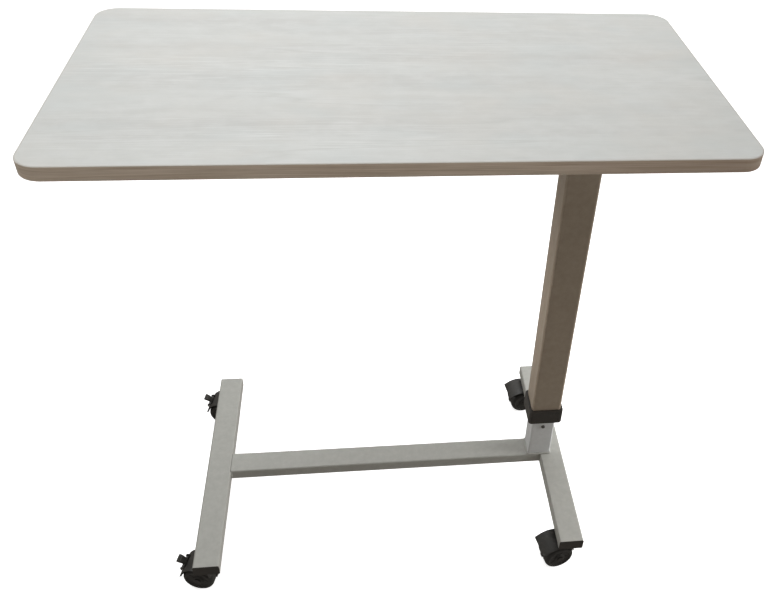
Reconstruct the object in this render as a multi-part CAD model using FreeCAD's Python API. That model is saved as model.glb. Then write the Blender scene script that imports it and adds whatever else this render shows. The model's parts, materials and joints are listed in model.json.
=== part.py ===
import FreeCAD, Part
import math, os
from FreeCAD import Vector as V

# Overbed table: a rectangular laminated top on an off-centre telescopic column
# that stands on an H-shaped base of flat steel tube with four twin-wheel
# castors; the two at the far end from the column have brake pedals.
# Millimetres. +Z up, +X to the column end of the top, -Y is the user's side.
# Origin: on the floor, under the centre of the top.

os.makedirs("parts", exist_ok=True)

# ---------------------------------------------------------------- driving sizes
TOP_L, TOP_W = 800.0, 420.0        # top, along X and along Y
TOP_Z = 797.0                      # height of the writing surface at rest
CORE_T = 16.0                      # particle board
LAM_T = 0.8                        # decorative laminate on top
BACK_T = 0.6                       # balancing laminate underneath
BAND_T = 2.0                       # edge band thickness
TOP_R = 28.0                       # corner radius of the top
TOP_T = CORE_T + LAM_T + BACK_T
UNDER_Z = TOP_Z - TOP_T            # underside of the top

COL_X = 248.0                      # column axis, Y = 0
COL_W, COL_D, COL_T, COL_R = 50.0, 46.0, 2.0, 4.0     # outer tube
POST_W, POST_D, POST_T, POST_R = 40.0, 36.0, 1.5, 3.0  # inner post
SLIDE_GAP = 0.3                    # clearance of the plastic guides
COLLAR_W, COLLAR_D, COLLAR_R = 58.0, 54.0, 6.0
COLLAR_Z0, COLLAR_H = 169.0, 30.0
COLLAR_FLOOR = 6.0
LIFT = 290.0                       # height adjustment

TUBE_W, TUBE_H, TUBE_T, TUBE_R = 40.0, 20.0, 1.5, 2.5  # base tube
BASE_Z = 80.0                      # upper face of the base tubes
LEG_XL, LEG_XR = -311.0, 270.0     # leg centre lines
LEG_HALF = 204.3                   # half length of a leg tube
CAP_T = 1.2                        # end cap flange

CASTOR_Y = 178.0                   # castor swivel axes at +/- this
WHEEL_R = 25.0
TRAIL = 17.0
WHEEL_Y0, WHEEL_Y1 = 3.6, 19.4     # one wheel's inner and outer side
HOOD_TOP = 58.0

POST_Z1 = 700.0                    # top of the inner post
PLATE_T = 3.0
RAIL_W, RAIL_H, RAIL_T = 30.0, 20.0, 1.5
RAIL_Y = 60.0                      # rail centre lines
RAIL_X0, RAIL_X1 = -250.0, 330.0
PLATE_Z1 = UNDER_Z - RAIL_H        # head plate, upper face
PLATE_Z0 = PLATE_Z1 - PLATE_T

ANCHOR_Z = 151.5                   # bolt that anchors the gas spring
LEVER_PIVOT = (285.0, UNDER_Z - 11.5)


# ---------------------------------------------------------------- helpers
def rrect_face(w, h, r, cx=0.0, cy=0.0):
    """Rounded rectangle face in the XY plane."""
    a, b = w / 2.0, h / 2.0
    k = r * math.cos(math.pi / 4)
    def p(x, y):
        return V(cx + x, cy + y, 0)
    e = []
    e.append(Part.LineSegment(p(-a + r, -b), p(a - r, -b)).toShape())
    e.append(Part.Arc(p(a - r, -b), p(a - r + k, -b + r - k), p(a, -b + r)).toShape())
    e.append(Part.LineSegment(p(a, -b + r), p(a, b - r)).toShape())
    e.append(Part.Arc(p(a, b - r), p(a - r + k, b - r + k), p(a - r, b)).toShape())
    e.append(Part.LineSegment(p(a - r, b), p(-a + r, b)).toShape())
    e.append(Part.Arc(p(-a + r, b), p(-a + r - k, b - r + k), p(-a, b - r)).toShape())
    e.append(Part.LineSegment(p(-a, b - r), p(-a, -b + r)).toShape())
    e.append(Part.Arc(p(-a, -b + r), p(-a + r - k, -b + r - k), p(-a + r, -b)).toShape())
    return Part.Face(Part.Wire(e))


def prism(w, h, r, z0, z1, cx=0.0, cy=0.0):
    """Rounded bar along Z."""
    f = rrect_face(w, h, r, cx, cy)
    s = f.extrude(V(0, 0, z1 - z0))
    s.translate(V(0, 0, z0))
    return s


def along_y(w, h, r, y0, y1, cx, cz):
    """Rounded bar along Y; w runs along X and h along Z."""
    s = rrect_face(w, h, r).extrude(V(0, 0, y1 - y0))
    s.rotate(V(0, 0, 0), V(1, 0, 0), 90)
    s.translate(V(cx, y1, cz))
    return s


def along_x(w, h, r, x0, x1, cy, cz):
    """Rounded bar along X; w runs along Y and h along Z."""
    s = rrect_face(w, h, r).extrude(V(0, 0, x1 - x0))
    s.rotate(V(0, 0, 0), V(1, 0, 0), 90)      # w along X, h along Z, length along -Y
    s.rotate(V(0, 0, 0), V(0, 0, 1), 90)      # w along Y, length along +X
    s.translate(V(x0, cy, cz))
    return s


def box(x0, x1, y0, y1, z0, z1):
    return Part.makeBox(x1 - x0, y1 - y0, z1 - z0, V(x0, y0, z0))


def cyl(r, p, d, length):
    return Part.makeCylinder(r, length, V(*p), V(*d))


def hexagon(af, p, d, length, bore=0.0):
    """Hexagonal prism, af across flats, starting at p and running along d."""
    ro = af / math.sqrt(3.0)
    pts = [V(ro * math.cos(math.radians(60 * i)), ro * math.sin(math.radians(60 * i)), 0) for i in range(7)]
    s = Part.Face(Part.makePolygon(pts)).extrude(V(0, 0, length))
    if bore:
        s = s.cut(Part.makeCylinder(bore, length + 2, V(0, 0, -1), V(0, 0, 1)))
    s.Placement = FreeCAD.Placement(V(*p), FreeCAD.Rotation(V(0, 0, 1), V(*d)))
    return s


def revolve_y(pts, cx, cz):
    """Revolve a closed (radius, y) outline about the axis along Y at (cx, cz)."""
    vs = [V(cx + r, y, cz) for r, y in pts]
    f = Part.Face(Part.makePolygon(vs + [vs[0]]))
    return f.revolve(V(cx, 0, cz), V(0, 1, 0), 360)


def edges_at(shape, test):
    return [e for e in shape.Edges if test(e)]


def fillet(shape, r, test):
    es = edges_at(shape, test)
    try:
        out = shape.makeFillet(r, es)
        if out.isValid() and out.Volume > 0:
            return out
    except Exception as err:
        print("fillet skipped:", err)
    return shape


def save(name, shape):
    if isinstance(shape, list):
        shape = Part.makeCompound(shape)
    solids = shape.Solids
    if len(solids) == 1:
        shape = solids[0]
    ok = all(s.isValid() and s.isClosed() for s in solids)
    print("%-26s solids %d  volume %.0f mm3  %s" % (name, len(solids), sum(s.Volume for s in solids), "ok" if ok else "BAD"))
    shape.exportStep("parts/%s.step" % name)


# ---------------------------------------------------------------- the top
SCREW_X = (-235.0, -75.0, 85.0, 316.0)
SCREWS = [(x, y) for x in SCREW_X for y in (-RAIL_Y, RAIL_Y)]
SCREW_R = 2.5
CORE_Z0 = UNDER_Z + BACK_T
CORE_Z1 = TOP_Z - LAM_T
SCREW_TIP = CORE_Z0 + 12.0

core = prism(TOP_L - 2 * BAND_T, TOP_W - 2 * BAND_T, TOP_R - BAND_T, CORE_Z0, CORE_Z1)
back = prism(TOP_L - 2 * BAND_T, TOP_W - 2 * BAND_T, TOP_R - BAND_T, UNDER_Z, CORE_Z0)
for x, y in SCREWS:
    core = core.cut(cyl(SCREW_R, (x, y, CORE_Z0 - 1), (0, 0, 1), 13.0))
    back = back.cut(cyl(SCREW_R + 0.2, (x, y, UNDER_Z - 1), (0, 0, 1), 3))
save("table_top_core", core)
save("bottom_laminate", back)
save("top_laminate", prism(TOP_L - 2 * BAND_T, TOP_W - 2 * BAND_T, TOP_R - BAND_T, CORE_Z1, TOP_Z))

band = prism(TOP_L, TOP_W, TOP_R, UNDER_Z, TOP_Z)
band = fillet(band, 1.2, lambda e: abs(e.BoundBox.ZMax - e.BoundBox.ZMin) < 1e-6)
band = band.cut(prism(TOP_L - 2 * BAND_T, TOP_W - 2 * BAND_T, TOP_R - BAND_T, UNDER_Z - 1, TOP_Z + 1))
save("edge_band", band)

# support rails under the top, welded to the head plate of the column
for name, y in (("support_rail_front", -RAIL_Y), ("support_rail_rear", RAIL_Y)):
    zc = PLATE_Z1 + RAIL_H / 2
    r = along_x(RAIL_W, RAIL_H, 2.0, RAIL_X0, RAIL_X1, y, zc)
    r = r.cut(along_x(RAIL_W - 2 * RAIL_T, RAIL_H - 2 * RAIL_T, 0.8, RAIL_X0 - 1, RAIL_X1 + 1, y, zc))
    for x in SCREW_X:
        r = r.cut(cyl(SCREW_R + 0.2, (x, y, PLATE_Z1 - 1), (0, 0, 1), RAIL_H + 2))
    save(name, r)

caps = []
for y in (-RAIL_Y, RAIL_Y):
    zc = PLATE_Z1 + RAIL_H / 2
    for x, s in ((RAIL_X0, -1), (RAIL_X1, 1)):
        a, b = (x - 2, x) if s < 0 else (x, x + 2)
        c = along_x(RAIL_W, RAIL_H, 2.0, a, b, y, zc)
        a, b = (x, x + 9) if s < 0 else (x - 9, x)
        c = c.fuse(along_x(RAIL_W - 2 * RAIL_T - 0.2, RAIL_H - 2 * RAIL_T - 0.2, 0.7, a, b, y, zc))
        caps.append(c.removeSplitter())
save("rail_end_caps", caps)

screws = []
for x, y in SCREWS:
    s = cyl(SCREW_R, (x, y, PLATE_Z1), (0, 0, 1), SCREW_TIP - PLATE_Z1)
    h = cyl(4.8, (x, y, PLATE_Z1 - 2.6), (0, 0, 1), 2.6)
    h = fillet(h, 1.2, lambda e: e.BoundBox.ZMax < PLATE_Z1 - 2.5)
    cross = box(x - 2.6, x + 2.6, y - 0.45, y + 0.45, PLATE_Z1 - 3, PLATE_Z1 - 1.4)
    cross = cross.fuse(box(x - 0.45, x + 0.45, y - 2.6, y + 2.6, PLATE_Z1 - 3, PLATE_Z1 - 1.4))
    screws.append(s.fuse(h).removeSplitter().cut(cross))
save("rail_screws", screws)

# ---------------------------------------------------------------- the column
plate = prism(120.0, 160.0, 8.0, PLATE_Z0, PLATE_Z1, COL_X, 0.0)
plate = plate.cut(cyl(5.2, (COL_X, 0, PLATE_Z0 - 1), (0, 0, 1), 6))
save("head_plate", plate)

COL_Z0 = COLLAR_Z0 + COLLAR_FLOOR
col = prism(COL_W, COL_D, COL_R, COL_Z0, PLATE_Z0, COL_X, 0)
col = col.cut(prism(COL_W - 2 * COL_T, COL_D - 2 * COL_T, COL_R - COL_T, COL_Z0 - 1, PLATE_Z0 + 1, COL_X, 0))
save("outer_column", col)

hole_w, hole_d = POST_W + 2 * SLIDE_GAP, POST_D + 2 * SLIDE_GAP
cup = prism(COLLAR_W, COLLAR_D, COLLAR_R, COLLAR_Z0, COLLAR_Z0 + COLLAR_H, COL_X, 0)
cup = fillet(cup, 1.5, lambda e: abs(e.BoundBox.ZMax - e.BoundBox.ZMin) < 1e-6)
cup = cup.cut(prism(COL_W + 0.2, COL_D + 0.2, COL_R + 0.1, COL_Z0, COLLAR_Z0 + COLLAR_H + 1, COL_X, 0))
sleeve = prism(COL_W - 2 * COL_T - 0.2, COL_D - 2 * COL_T - 0.2, COL_R - COL_T - 0.1, COL_Z0, COL_Z0 + 28, COL_X, 0)
cup = cup.fuse(sleeve).removeSplitter()
cup = cup.cut(prism(hole_w, hole_d, POST_R + SLIDE_GAP, COLLAR_Z0 - 1, COL_Z0 + 30, COL_X, 0))
save("column_collar", cup)

post = prism(POST_W, POST_D, POST_R, BASE_Z, POST_Z1, COL_X, 0)
post = post.cut(prism(POST_W - 2 * POST_T, POST_D - 2 * POST_T, POST_R - POST_T, BASE_Z - 1, POST_Z1 + 1, COL_X, 0))
post = post.cut(cyl(2.6, (COL_X, -POST_D, ANCHOR_Z), (0, 1, 0), 2 * POST_D))
save("inner_post", post)

# plastic cap on the post; it is the upper slide guide
gw, gd = COL_W - 2 * COL_T - 2 * SLIDE_GAP, COL_D - 2 * COL_T - 2 * SLIDE_GAP
guide = prism(gw, gd, 1.8, POST_Z1 - 30, POST_Z1 + 3, COL_X, 0)
guide = guide.cut(prism(POST_W + 0.2, POST_D + 0.2, POST_R + 0.1, POST_Z1 - 31, POST_Z1, COL_X, 0))
guide = guide.cut(cyl(6.5, (COL_X, 0, POST_Z1 - 2), (0, 0, 1), 8))
save("post_guide_cap", guide)

# lockable gas spring inside the post
CYL_Z0, CYL_Z1 = 168.0, 672.0
ROD_R, ROD_Z0, ROD_Z1 = 5.0, 346.0, PLATE_Z1 + 3.6
barrel = cyl(14.0, (COL_X, 0, CYL_Z0), (0, 0, 1), CYL_Z1 - CYL_Z0)
barrel = fillet(barrel, 2.0, lambda e: abs(e.BoundBox.ZMax - e.BoundBox.ZMin) < 1e-6 and e.Length > 60)
barrel = barrel.cut(cyl(12.5, (COL_X, 0, CYL_Z0 + 8), (0, 0, 1), CYL_Z1 - CYL_Z0 - 22))
barrel = barrel.cut(cyl(ROD_R + 0.06, (COL_X, 0, CYL_Z1 - 20), (0, 0, 1), 30))
save("gas_spring_cylinder", barrel)

foot = cyl(8.0, (COL_X, 0, ANCHOR_Z - 9), (0, 0, 1), CYL_Z0 - ANCHOR_Z + 9)
foot = foot.cut(cyl(2.6, (COL_X, -20, ANCHOR_Z), (0, 1, 0), 40))
save("gas_spring_foot", foot)

PIN_Z0, PIN_TOP = 750.0, UNDER_Z - 10.1
rod = cyl(ROD_R, (COL_X, 0, ROD_Z0), (0, 0, 1), ROD_Z1 - ROD_Z0)
rod = rod.cut(cyl(2.05, (COL_X, 0, 744.0), (0, 0, 1), 60))
save("gas_spring_rod", rod)

piston = cyl(12.44, (COL_X, 0, 350.0), (0, 0, 1), 15.0).cut(cyl(ROD_R, (COL_X, 0, 340.0), (0, 0, 1), 40.0))
save("gas_spring_piston", piston)

pin = cyl(2.0, (COL_X, 0, PIN_Z0), (0, 0, 1), PIN_TOP - PIN_Z0)
pin = fillet(pin, 0.6, lambda e: e.BoundBox.ZMin > PIN_TOP - 0.1)
save("release_pin", pin)

save("rod_locknuts", [hexagon(16, (COL_X, 0, PLATE_Z0 - 5), (0, 0, 1), 5, ROD_R),
                      hexagon(16, (COL_X, 0, PLATE_Z1), (0, 0, 1), 3.4, ROD_R)])

bolt = cyl(2.5, (COL_X, -POST_D / 2, ANCHOR_Z), (0, 1, 0), POST_D + 6)
head = cyl(3.2, (COL_X, -POST_D / 2 - 2.2, ANCHOR_Z), (0, 1, 0), 2.2)
head = fillet(head, 0.9, lambda e: e.BoundBox.YMax < -POST_D / 2 - 2.1)
head = head.cut(hexagon(2.5, (COL_X, -POST_D / 2 - 3, ANCHOR_Z), (0, 1, 0), 2.0))
save("anchor_bolt", bolt.fuse(head).removeSplitter())
save("anchor_nut", hexagon(8, (COL_X, POST_D / 2, ANCHOR_Z), (0, 1, 0), 4.5, 2.5))

# ---------------------------------------------------------------- height release
px, pz = LEVER_PIVOT
BAR_T, BAR_HALF = 4.0, 10.0
zb = pz + 2.0 + BAR_T / 2                       # bar centre line over the pin
cl = [(243.0, zb), (312.0, zb), (336.0, 748.0), (390.0, 748.0)]


def thick(line, t):
    """Closed outline of a bent flat bar of thickness t along a centre line (x, z)."""
    n = len(line)
    up, dn = [], []
    for i in range(n):
        def unit(a, b):
            d = (b[0] - a[0], b[1] - a[1])
            m = math.hypot(*d)
            return (d[0] / m, d[1] / m)
        if i == 0:
            u = unit(line[0], line[1])
            nrm, k = (-u[1], u[0]), 1.0
        elif i == n - 1:
            u = unit(line[-2], line[-1])
            nrm, k = (-u[1], u[0]), 1.0
        else:
            u0, u1 = unit(line[i - 1], line[i]), unit(line[i], line[i + 1])
            m = (-u0[1] - u1[1], u0[0] + u1[0])
            l = math.hypot(*m)
            nrm = (m[0] / l, m[1] / l)
            k = 1.0 / (nrm[0] * -u0[1] + nrm[1] * u0[0])
        up.append((line[i][0] + nrm[0] * t / 2 * k, line[i][1] + nrm[1] * t / 2 * k))
        dn.append((line[i][0] - nrm[0] * t / 2 * k, line[i][1] - nrm[1] * t / 2 * k))
    return up + dn[::-1]


pts = [V(x, -BAR_HALF, z) for x, z in thick(cl, BAR_T)]
lever = Part.Face(Part.makePolygon(pts + [pts[0]])).extrude(V(0, 2 * BAR_HALF, 0))
lever = fillet(lever, 3.0, lambda e: abs(e.BoundBox.YMax - e.BoundBox.YMin) > 19 and 300 < e.BoundBox.XMin < 345)
lever = lever.fuse(cyl(5.0, (px, -BAR_HALF, pz), (0, 1, 0), 2 * BAR_HALF)).removeSplitter()
lever = lever.cut(cyl(3.05, (px, -20, pz), (0, 1, 0), 40))
save("release_lever", lever)

grip = along_x(30.0, 15.0, 6.0, 346.0, 396.0, 0.0, 748.0)
grip = fillet(grip, 2.5, lambda e: abs(e.BoundBox.XMax - e.BoundBox.XMin) < 1e-6)
grip = grip.cut(box(340.0, 390.0, -BAR_HALF, BAR_HALF, 746.0, 750.0))
save("lever_grip", grip)

bx0, bx1 = px - 10, px + 10
brk = box(bx0, bx1, -13.5, 13.5, PLATE_Z1, PLATE_Z1 + 1.5)
for y0, y1 in ((-13.5, -10.5), (10.5, 13.5)):
    ear = box(bx0, bx1, y0, y1, PLATE_Z1, pz)
    ear = ear.fuse(cyl(7.0, (px, y0, pz), (0, 1, 0), 3.0))
    brk = brk.fuse(ear)
brk = brk.removeSplitter().cut(cyl(3.0, (px, -20, pz), (0, 1, 0), 40))
save("lever_bracket", brk)

piv = cyl(3.0, (px, -13.5, pz), (0, 1, 0), 27.0)
piv = piv.fuse(cyl(4.6, (px, -15.0, pz), (0, 1, 0), 1.5)).fuse(cyl(4.6, (px, 13.5, pz), (0, 1, 0), 1.5)).removeSplitter()
save("lever_pivot_pin", piv)

# ---------------------------------------------------------------- the base
TZ = BASE_Z - TUBE_H / 2
BOT_Z = BASE_Z - TUBE_H


def leg(cx):
    s = along_y(TUBE_W, TUBE_H, TUBE_R, -LEG_HALF, LEG_HALF, cx, TZ)
    s = s.cut(along_y(TUBE_W - 2 * TUBE_T, TUBE_H - 2 * TUBE_T, TUBE_R - TUBE_T, -LEG_HALF - 1, LEG_HALF + 1, cx, TZ))
    for y in (-CASTOR_Y, CASTOR_Y):
        s = s.cut(cyl(5.3, (cx, y, BOT_Z - 1), (0, 0, 1), 5))
    return s


save("left_leg", leg(LEG_XL))
save("right_leg", leg(LEG_XR))

cb = along_x(TUBE_W, TUBE_H, TUBE_R, LEG_XL + TUBE_W / 2, LEG_XR - TUBE_W / 2, 0.0, TZ)
cb = cb.cut(along_x(TUBE_W - 2 * TUBE_T, TUBE_H - 2 * TUBE_T, TUBE_R - TUBE_T, LEG_XL, LEG_XR, 0.0, TZ))
save("crossbar", cb)

caps = []
for cx in (LEG_XL, LEG_XR):
    for s in (-1, 1):
        y0, y1 = sorted((s * LEG_HALF, s * (LEG_HALF + CAP_T)))
        c = along_y(TUBE_W, TUBE_H, TUBE_R, y0, y1, cx, TZ)
        far = s * (LEG_HALF + CAP_T)
        c = fillet(c, 0.6, lambda e: abs(e.BoundBox.YMin - far) < 1e-6 and abs(e.BoundBox.YMax - far) < 1e-6)
        y0, y1 = sorted((s * LEG_HALF, s * (LEG_HALF - 9)))
        c = c.fuse(along_y(TUBE_W - 2 * TUBE_T - 0.2, TUBE_H - 2 * TUBE_T - 0.2, TUBE_R - TUBE_T - 0.1, y0, y1, cx, TZ))
        caps.append(c.removeSplitter())
save("leg_end_caps", caps)

# ---------------------------------------------------------------- castors
# stem position, angle the castor is turned about its stem, and whether it is braked
CASTORS = {"fl": (LEG_XL, -CASTOR_Y, -14.0, True), "rl": (LEG_XL, CASTOR_Y, -11.0, True),
           "fr": (LEG_XR, -CASTOR_Y, 12.0, False), "rr": (LEG_XR, CASTOR_Y, 8.0, False)}

stems, nuts = [], []
for cx, cy, turn, brake in CASTORS.values():
    s = cyl(4.0, (cx, cy, 49.0), (0, 0, 1), BOT_Z - 49.0)
    s = s.fuse(cyl(8.0, (cx, cy, HOOD_TOP + 0.3), (0, 0, 1), BOT_Z - HOOD_TOP - 0.3))
    s = s.fuse(cyl(5.0, (cx, cy, BOT_Z), (0, 0, 1), 14.0))
    stems.append(s.removeSplitter())
    nuts.append(hexagon(16, (cx, cy, BOT_Z + TUBE_T), (0, 0, 1), 8.0, 5.0))
save("caster_stems", stems)
save("caster_weld_nuts", nuts)

AZ = WHEEL_R                                   # axle height
BR_ANG, BR_RAD = 144.4, 30.1                   # brake pivot about the axle
HOOD_R0, HOOD_R1, HOOD_HALF = 26.3, 29.0, 20.4
HOOD_A0 = 34.0                                 # angle of the hood's front edge about the axle
LIP_X, LIP_Z = 32.0, 20.0                      # edge of the lip from the axle


def wedge(cx, r, y0, y1, a0, a1):
    """Sector of a disc about the axle, from angle a0 to a1 in the XZ plane."""
    n = max(2, int(abs(a1 - a0) / 6))
    R = r * 1.4
    p = [V(cx, y0, AZ)]
    for i in range(n + 1):
        a = math.radians(a0 + (a1 - a0) * i / n)
        p.append(V(cx + R * math.cos(a), y0, AZ + R * math.sin(a)))
    return Part.Face(Part.makePolygon(p + [p[0]])).extrude(V(0, y1 - y0, 0))


def hood(brake):
    """Hood about the swivel axis at the origin; the wheels trail towards -X.
    With a brake it has a window and ears for the pedal, otherwise a flat lip."""
    cx = -TRAIL
    if brake:
        shell = cyl(HOOD_R1, (cx, -HOOD_HALF, AZ), (0, 1, 0), 2 * HOOD_HALF)
        shell = fillet(shell, 2.2, lambda e: True)
        shell = shell.cut(cyl(HOOD_R0, (cx, -HOOD_HALF - 1, AZ), (0, 1, 0), 2 * HOOD_HALF + 2))
        shell = shell.common(wedge(cx, HOOD_R1, -HOOD_HALF, HOOD_HALF, HOOD_A0, 168))
    else:
        shell = lipped(cx)
    web = cyl(HOOD_R0 + 0.5, (cx, -3.0, AZ), (0, 1, 0), 6.0)
    web = web.common(box(cx - 40, cx + 40, -4, 4, AZ - 8, AZ + 40).fuse(cyl(8.0, (cx, -4, AZ), (0, 1, 0), 8.0)))
    if not brake:
        fin = [V(cx - 30.6, -3.0, AZ + 18.4), V(cx - 26.0, -3.0, AZ + 21.7), V(cx - 18.4, -3.0, AZ + 26.2), V(cx - 9.0, -3.0, AZ + 28.9), V(cx + 1.2, -3.0, AZ + 28.2), V(cx + 4.0, -3.0, AZ + 20.0), V(cx - 24.0, -3.0, AZ + 6.0), V(cx - 30.6, -3.0, AZ + 18.4)]
        web = web.fuse(Part.Face(Part.makePolygon(fin)).extrude(V(0, 6.0, 0)))
    boss = cyl(9.5, (0, 0, 30.0), (0, 0, 1), HOOD_TOP - 30.0)
    boss = fillet(boss, 1.0, lambda e: e.BoundBox.ZMin > HOOD_TOP - 0.01)
    rib = box(-12.0, 9.5, -3.0, 3.0, 34.0, 50.0)
    room = cyl(HOOD_R0, (cx, -HOOD_HALF - 1, AZ), (0, 1, 0), 2 * HOOD_HALF + 2)
    room = room.cut(box(cx - 40, cx + 40, -3.0, 3.0, AZ - 40, AZ + 40))
    below = box(-20, 20, -20, 20, 20.0, 46.0).cut(box(-20, 20, -3.0, 3.0, 20.0, 46.0))
    boss = boss.cut(room).cut(below).common(box(-30, 9.6, -30, 30, 34.0, 60.0))
    h = shell.fuse(web).fuse(boss).fuse(rib.common(boss.fuse(web).fuse(rib)))
    bx = cx + BR_RAD * math.cos(math.radians(BR_ANG))
    bz = AZ + BR_RAD * math.sin(math.radians(BR_ANG))
    if brake:
        # ears for the brake pedal, and the window it works through
        for y0 in (-13.4, 10.6):
            ear = cyl(4.0, (bx, y0, bz), (0, 1, 0), 2.8)
            ear = ear.fuse(wedge(cx, 22.5, y0, y0 + 2.8, 134, 156).common(cyl(HOOD_R1 + 0.5, (cx, y0, AZ), (0, 1, 0), 2.8)))
            ear = ear.cut(cyl(HOOD_R0, (cx, y0 - 1, AZ), (0, 1, 0), 5))
            h = h.fuse(ear)
        win = wedge(cx, HOOD_R1, -10.6, 10.6, 130, 159).cut(cyl(26.0, (cx, -12, AZ), (0, 1, 0), 24))
        keep = box(cx - 60, cx + 60, -3.0, 3.0, AZ - 40, AZ + 60).common(cyl(HOOD_R0 - 1.5, (cx, -4, AZ), (0, 1, 0), 8))
        h = h.cut(win.cut(keep))
        h = h.cut(cyl(26.9, (cx, -3.2, AZ), (0, 1, 0), 6.4).cut(cyl(24.6, (cx, -4, AZ), (0, 1, 0), 8)).common(wedge(cx, HOOD_R1, -4, 4, 130, 159)))
        h = h.cut(cyl(1.5, (bx, -30, bz), (0, 1, 0), 60))
    h = h.cut(cyl(3.0, (cx, -30, AZ), (0, 1, 0), 60))
    h = h.cut(cyl(4.06, (0, 0, 48.6), (0, 0, 1), 20))
    return h.removeSplitter(), bx, bz


def lipped(cx):
    """Arched cover whose rear runs on as a flat lip beyond the wheels."""
    def at(r, a):
        return V(cx + r * math.cos(math.radians(a)), -HOOD_HALF, AZ + r * math.sin(math.radians(a)))
    def p(x, z):
        return V(cx + x, -HOOD_HALF, AZ + z)
    # crown rises over the wheels, then falls to the lip; the inside keeps clear of the treads
    top_o = Part.BSplineCurve()
    top_o.interpolate([at(HOOD_R1, 66), p(1.5, 30.2), p(-9.0, 31.0), p(-19.0, 28.4), p(-27.0, 23.9), p(-LIP_X, LIP_Z)])
    top_i = Part.BSplineCurve()
    top_i.interpolate([p(-LIP_X + 1.3, LIP_Z - 2.3), p(-26.0, 21.2), p(-18.4, 25.6), p(-9.0, 28.2), p(1.2, 27.5), at(HOOD_R0, 66)])
    tip_o, tip_i = p(-LIP_X, LIP_Z), p(-LIP_X + 1.3, LIP_Z - 2.3)
    e = [Part.Arc(at(HOOD_R1, HOOD_A0), at(HOOD_R1, 50), at(HOOD_R1, 66)).toShape(),
         top_o.toShape(),
         Part.LineSegment(tip_o, tip_i).toShape(),
         top_i.toShape(),
         Part.Arc(at(HOOD_R0, 66), at(HOOD_R0, 50), at(HOOD_R0, HOOD_A0)).toShape(),
         Part.LineSegment(at(HOOD_R0, HOOD_A0), at(HOOD_R1, HOOD_A0)).toShape()]
    s = Part.Face(Part.Wire(e)).extrude(V(0, 2 * HOOD_HALF, 0))
    r2 = HOOD_R1 - 0.5
    def outer(ed):
        b = ed.BoundBox
        if b.YLength > 1e-3:
            return False
        m = ed.valueAt((ed.FirstParameter + ed.LastParameter) / 2)
        return math.hypot(m.x - cx, m.z - AZ) > r2 and not (abs(m.x - (tip_o.x + tip_i.x) / 2) < 0.6 and m.z < tip_o.z - 0.5)
    return fillet(s, 1.2, outer)


H_BRAKE, BX, BZ = hood(True)
H_PLAIN = hood(False)[0]
cxw = -TRAIL
axle0 = cyl(3.0, (cxw, -19.8, AZ), (0, 1, 0), 39.6)
axle0 = axle0.fuse(cyl(4.8, (cxw, -20.9, AZ), (0, 1, 0), 1.1)).fuse(cyl(4.8, (cxw, 19.8, AZ), (0, 1, 0), 1.1)).removeSplitter()
bpin0 = cyl(1.5, (BX, -13.4, BZ), (0, 1, 0), 26.8)
prof = [(3.06, 3.6), (7.5, 3.6), (8.5, 6.2), (20.5, 6.2), (21.5, 3.8), (24.2, 3.8), (25.0, 4.6), (25.0, 13.0),
        (24.75, 14.8), (24.0, 16.5), (22.8, 17.9), (21.3, 18.9), (19.6, 19.4), (18.2, 19.0), (17.4, 17.6), (9.4, 16.8), (8.4, 18.4), (7.2, 19.2), (5.6, 19.4), (3.06, 19.4)]
wheel_b0 = revolve_y(prof, cxw, AZ)
wheel_a0 = revolve_y([(r, -y) for r, y in prof], cxw, AZ)

# brake pedal: barrel on the pin, a nose towards the treads and a tab to press
bl = cyl(3.0, (BX, -10.0, BZ), (0, 1, 0), 20.0)
bl = bl.fuse(cyl(1.6, (BX, -10.0, BZ - 4.0), (0, 1, 0), 20.0))
bl = bl.fuse(box(BX - 1.6, BX + 1.6, -10.0, 10.0, BZ - 4.0, BZ))
tab = [(BX + 2.6, BZ + 2.6), (BX - 2.0, BZ + 6.6), (BX - 10.6, BZ + 10.9), (BX - 11.9, BZ + 10.2),
       (BX - 11.4, BZ + 8.2), (BX - 3.6, BZ + 3.4), (BX - 2.6, BZ - 0.6), (BX + 1.4, BZ - 1.2)]
tp = [V(x, -7.0, z) for x, z in tab]
tabs = Part.Face(Part.makePolygon(tp + [tp[0]])).extrude(V(0, 14.0, 0))
tabs = tabs.common(prism(40.0, 14.0, 3.5, 0, 100, BX + 8.1, 0.0))
bl = bl.fuse(tabs).removeSplitter().cut(cyl(1.56, (BX, -30, BZ), (0, 1, 0), 60))

for key, (cx, cy, turn, brake) in CASTORS.items():
    pieces = [("hood", H_BRAKE if brake else H_PLAIN), ("axle", axle0), ("wheel_front", wheel_a0), ("wheel_rear", wheel_b0)]
    if brake:
        pieces += [("brake_pin", bpin0), ("brake_pedal", bl)]
    for nm, sh in pieces:
        c = sh.copy()
        c.rotate(V(0, 0, 0), V(0, 0, 1), turn)
        c.translate(V(cx, cy, 0))
        save("caster_%s_%s" % (key, nm), c)

print("brake pivot from swivel axis: x %.4f z %.4f" % (BX, BZ))
print("lever pivot %.3f %.3f  pin top %.3f" % (px, pz, PIN_TOP))
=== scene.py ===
import bpy, bmesh, math, json
from mathutils import Vector, Matrix


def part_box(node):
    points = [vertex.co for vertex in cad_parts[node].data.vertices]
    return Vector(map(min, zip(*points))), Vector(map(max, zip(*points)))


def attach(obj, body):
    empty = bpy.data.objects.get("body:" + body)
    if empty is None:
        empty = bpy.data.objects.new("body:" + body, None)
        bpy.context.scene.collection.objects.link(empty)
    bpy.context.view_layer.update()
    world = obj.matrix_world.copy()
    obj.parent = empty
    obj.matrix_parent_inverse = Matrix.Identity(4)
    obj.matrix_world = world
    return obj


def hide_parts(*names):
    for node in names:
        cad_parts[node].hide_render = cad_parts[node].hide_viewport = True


# Overbed table. Metres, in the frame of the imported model: +Z up, +X to the column end, -Y the user's side.

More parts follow.
